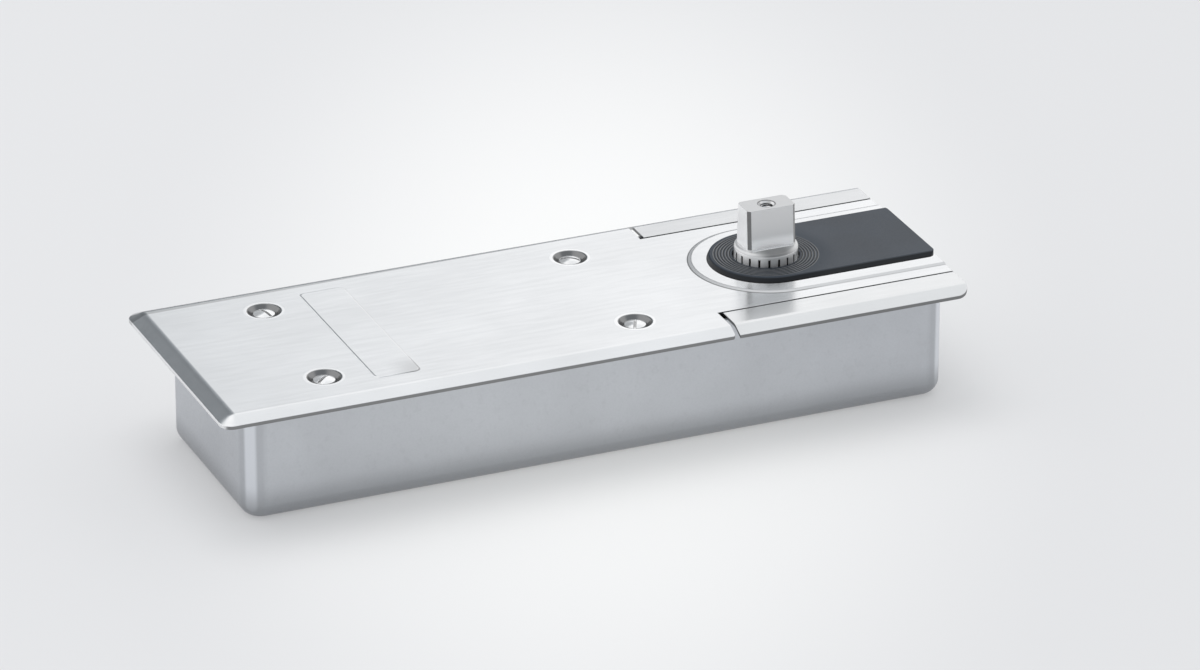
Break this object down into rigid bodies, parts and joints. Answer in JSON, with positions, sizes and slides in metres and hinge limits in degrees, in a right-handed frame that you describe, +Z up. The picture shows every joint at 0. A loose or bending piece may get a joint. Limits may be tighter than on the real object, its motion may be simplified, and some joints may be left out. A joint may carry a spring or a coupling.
{
  "type": "floor spring",
  "caption": "Hydraulic floor spring: sheet box with a pressed cover, sloping borders and a turning flat-conical spindle head; cam, piston and spring inside.",
  "frame": {"origin": "under the middle of the cover, at the level of the underside of the cement box", "axes": "+Z up out of the floor, +X along the cover towards the spindle end, +Y towards the far long side"},
  "size_m": [0.3218, 0.1144, 0.0781],
  "materials": {
    "cover_steel": "satin pressed sheet, fine grain along the cover",
    "box_steel": "galvanised sheet, matt",
    "insert_black": "dark grey moulding with a satin top",
    "bright_steel": "bright ground steel",
    "zinc_steel": "zinc plated steel",
    "cast_body": "painted casting with machined faces",
    "hard_steel": "hardened ground steel",
    "spring_steel": "oiled spring wire",
    "black_steel": "black oxide",
    "seal_rubber": "smooth oil-resistant rubber",
    "bronze": "turned bronze and brass"
  },
  "bodies": {
    "housing": {"cement_box": "box_steel", "cover_plate": "cover_steel", "front_edge_strip": "cover_steel", "rear_edge_strip": "cover_steel", "strip_brackets": "box_steel", "cover_pillars": "zinc_steel", "cover_screws": "zinc_steel", "spindle_cover": "insert_black", "closer_body": "cast_body", "bearing_lid": "zinc_steel", "bearing_lid_screws": "black_steel", "bearing_lid_seal": "seal_rubber", "upper_bushing": "bronze", "spindle_seal": "seal_rubber", "bearing_outer_ring": "hard_steel", "spring_seat": "zinc_steel", "end_cap": "zinc_steel", "end_cap_seal": "seal_rubber", "valve_seals": "seal_rubber", "gallery_plugs": "zinc_steel", "fill_plug": "zinc_steel", "levelling_screws": "zinc_steel", "fixing_screws": "zinc_steel", "fixing_washers": "zinc_steel", "weld_nuts": "zinc_steel"},
    "spindle": {"spindle_shaft": "hard_steel", "spindle_head": "bright_steel", "head_snap_ring": "spring_steel", "heart_cam": "hard_steel", "cam_key": "hard_steel", "bearing_inner_ring": "hard_steel"},
    "piston_set": {"piston": "hard_steel", "piston_ring": "black_steel", "roller_pin": "hard_steel", "check_pin": "hard_steel", "closing_spring": "spring_steel"},
    "ball_set": {"bearing_balls": "bright_steel", "bearing_cage": "bronze"},
    "roller": {"cam_roller": "bright_steel"},
    "return_ball": {"check_ball": "bright_steel"},
    "closing_valve": {"closing_speed_valve": "bronze"},
    "latching_valve": {"latching_speed_valve": "bronze"}
  },
  "joints": [
    {"name": "spindle_turn", "type": "hinge", "parent": "housing", "child": "spindle", "pos_m": [0.0953, 0, 0.0265], "axis": [0, 0, 1], "range_deg": [0, 130], "stiffness_Nm_per_rad": 1.5},
    {"name": "piston_slide", "type": "slide", "parent": "housing", "child": "piston_set", "axis": [-1, 0, 0], "range_m": [0, 0.0143], "deforming": ["closing_spring"]},
    {"name": "ball_set_turn", "type": "hinge", "parent": "housing", "child": "ball_set", "pos_m": [0.0953, 0, 0.012], "axis": [0, 0, 1], "range_deg": [0, 52]},
    {"name": "roller_spin", "type": "hinge", "parent": "piston_set", "child": "roller", "pos_m": [0.0733, 0, 0.0265], "axis": [0, 0, 1], "continuous": true},
    {"name": "check_ball_lift", "type": "slide", "parent": "piston_set", "child": "return_ball", "axis": [1, 0, 0], "range_m": [0, 0.002]},
    {"name": "closing_speed_turn", "type": "hinge", "parent": "housing", "child": "closing_valve", "pos_m": [0.01, 0.022, 0.045], "axis": [0, 0, 1], "range_deg": [-180, 360]},
    {"name": "latching_speed_turn", "type": "hinge", "parent": "housing", "child": "latching_valve", "pos_m": [0.01, -0.022, 0.045], "axis": [0, 0, 1], "range_deg": [-180, 360]}
  ],
  "couplings": [
    {"joint": "piston_slide", "follows": "spindle_turn", "m_per_rad": 0.0063025},
    {"joint": "ball_set_turn", "follows": "spindle_turn", "ratio": 0.398}
  ]
}
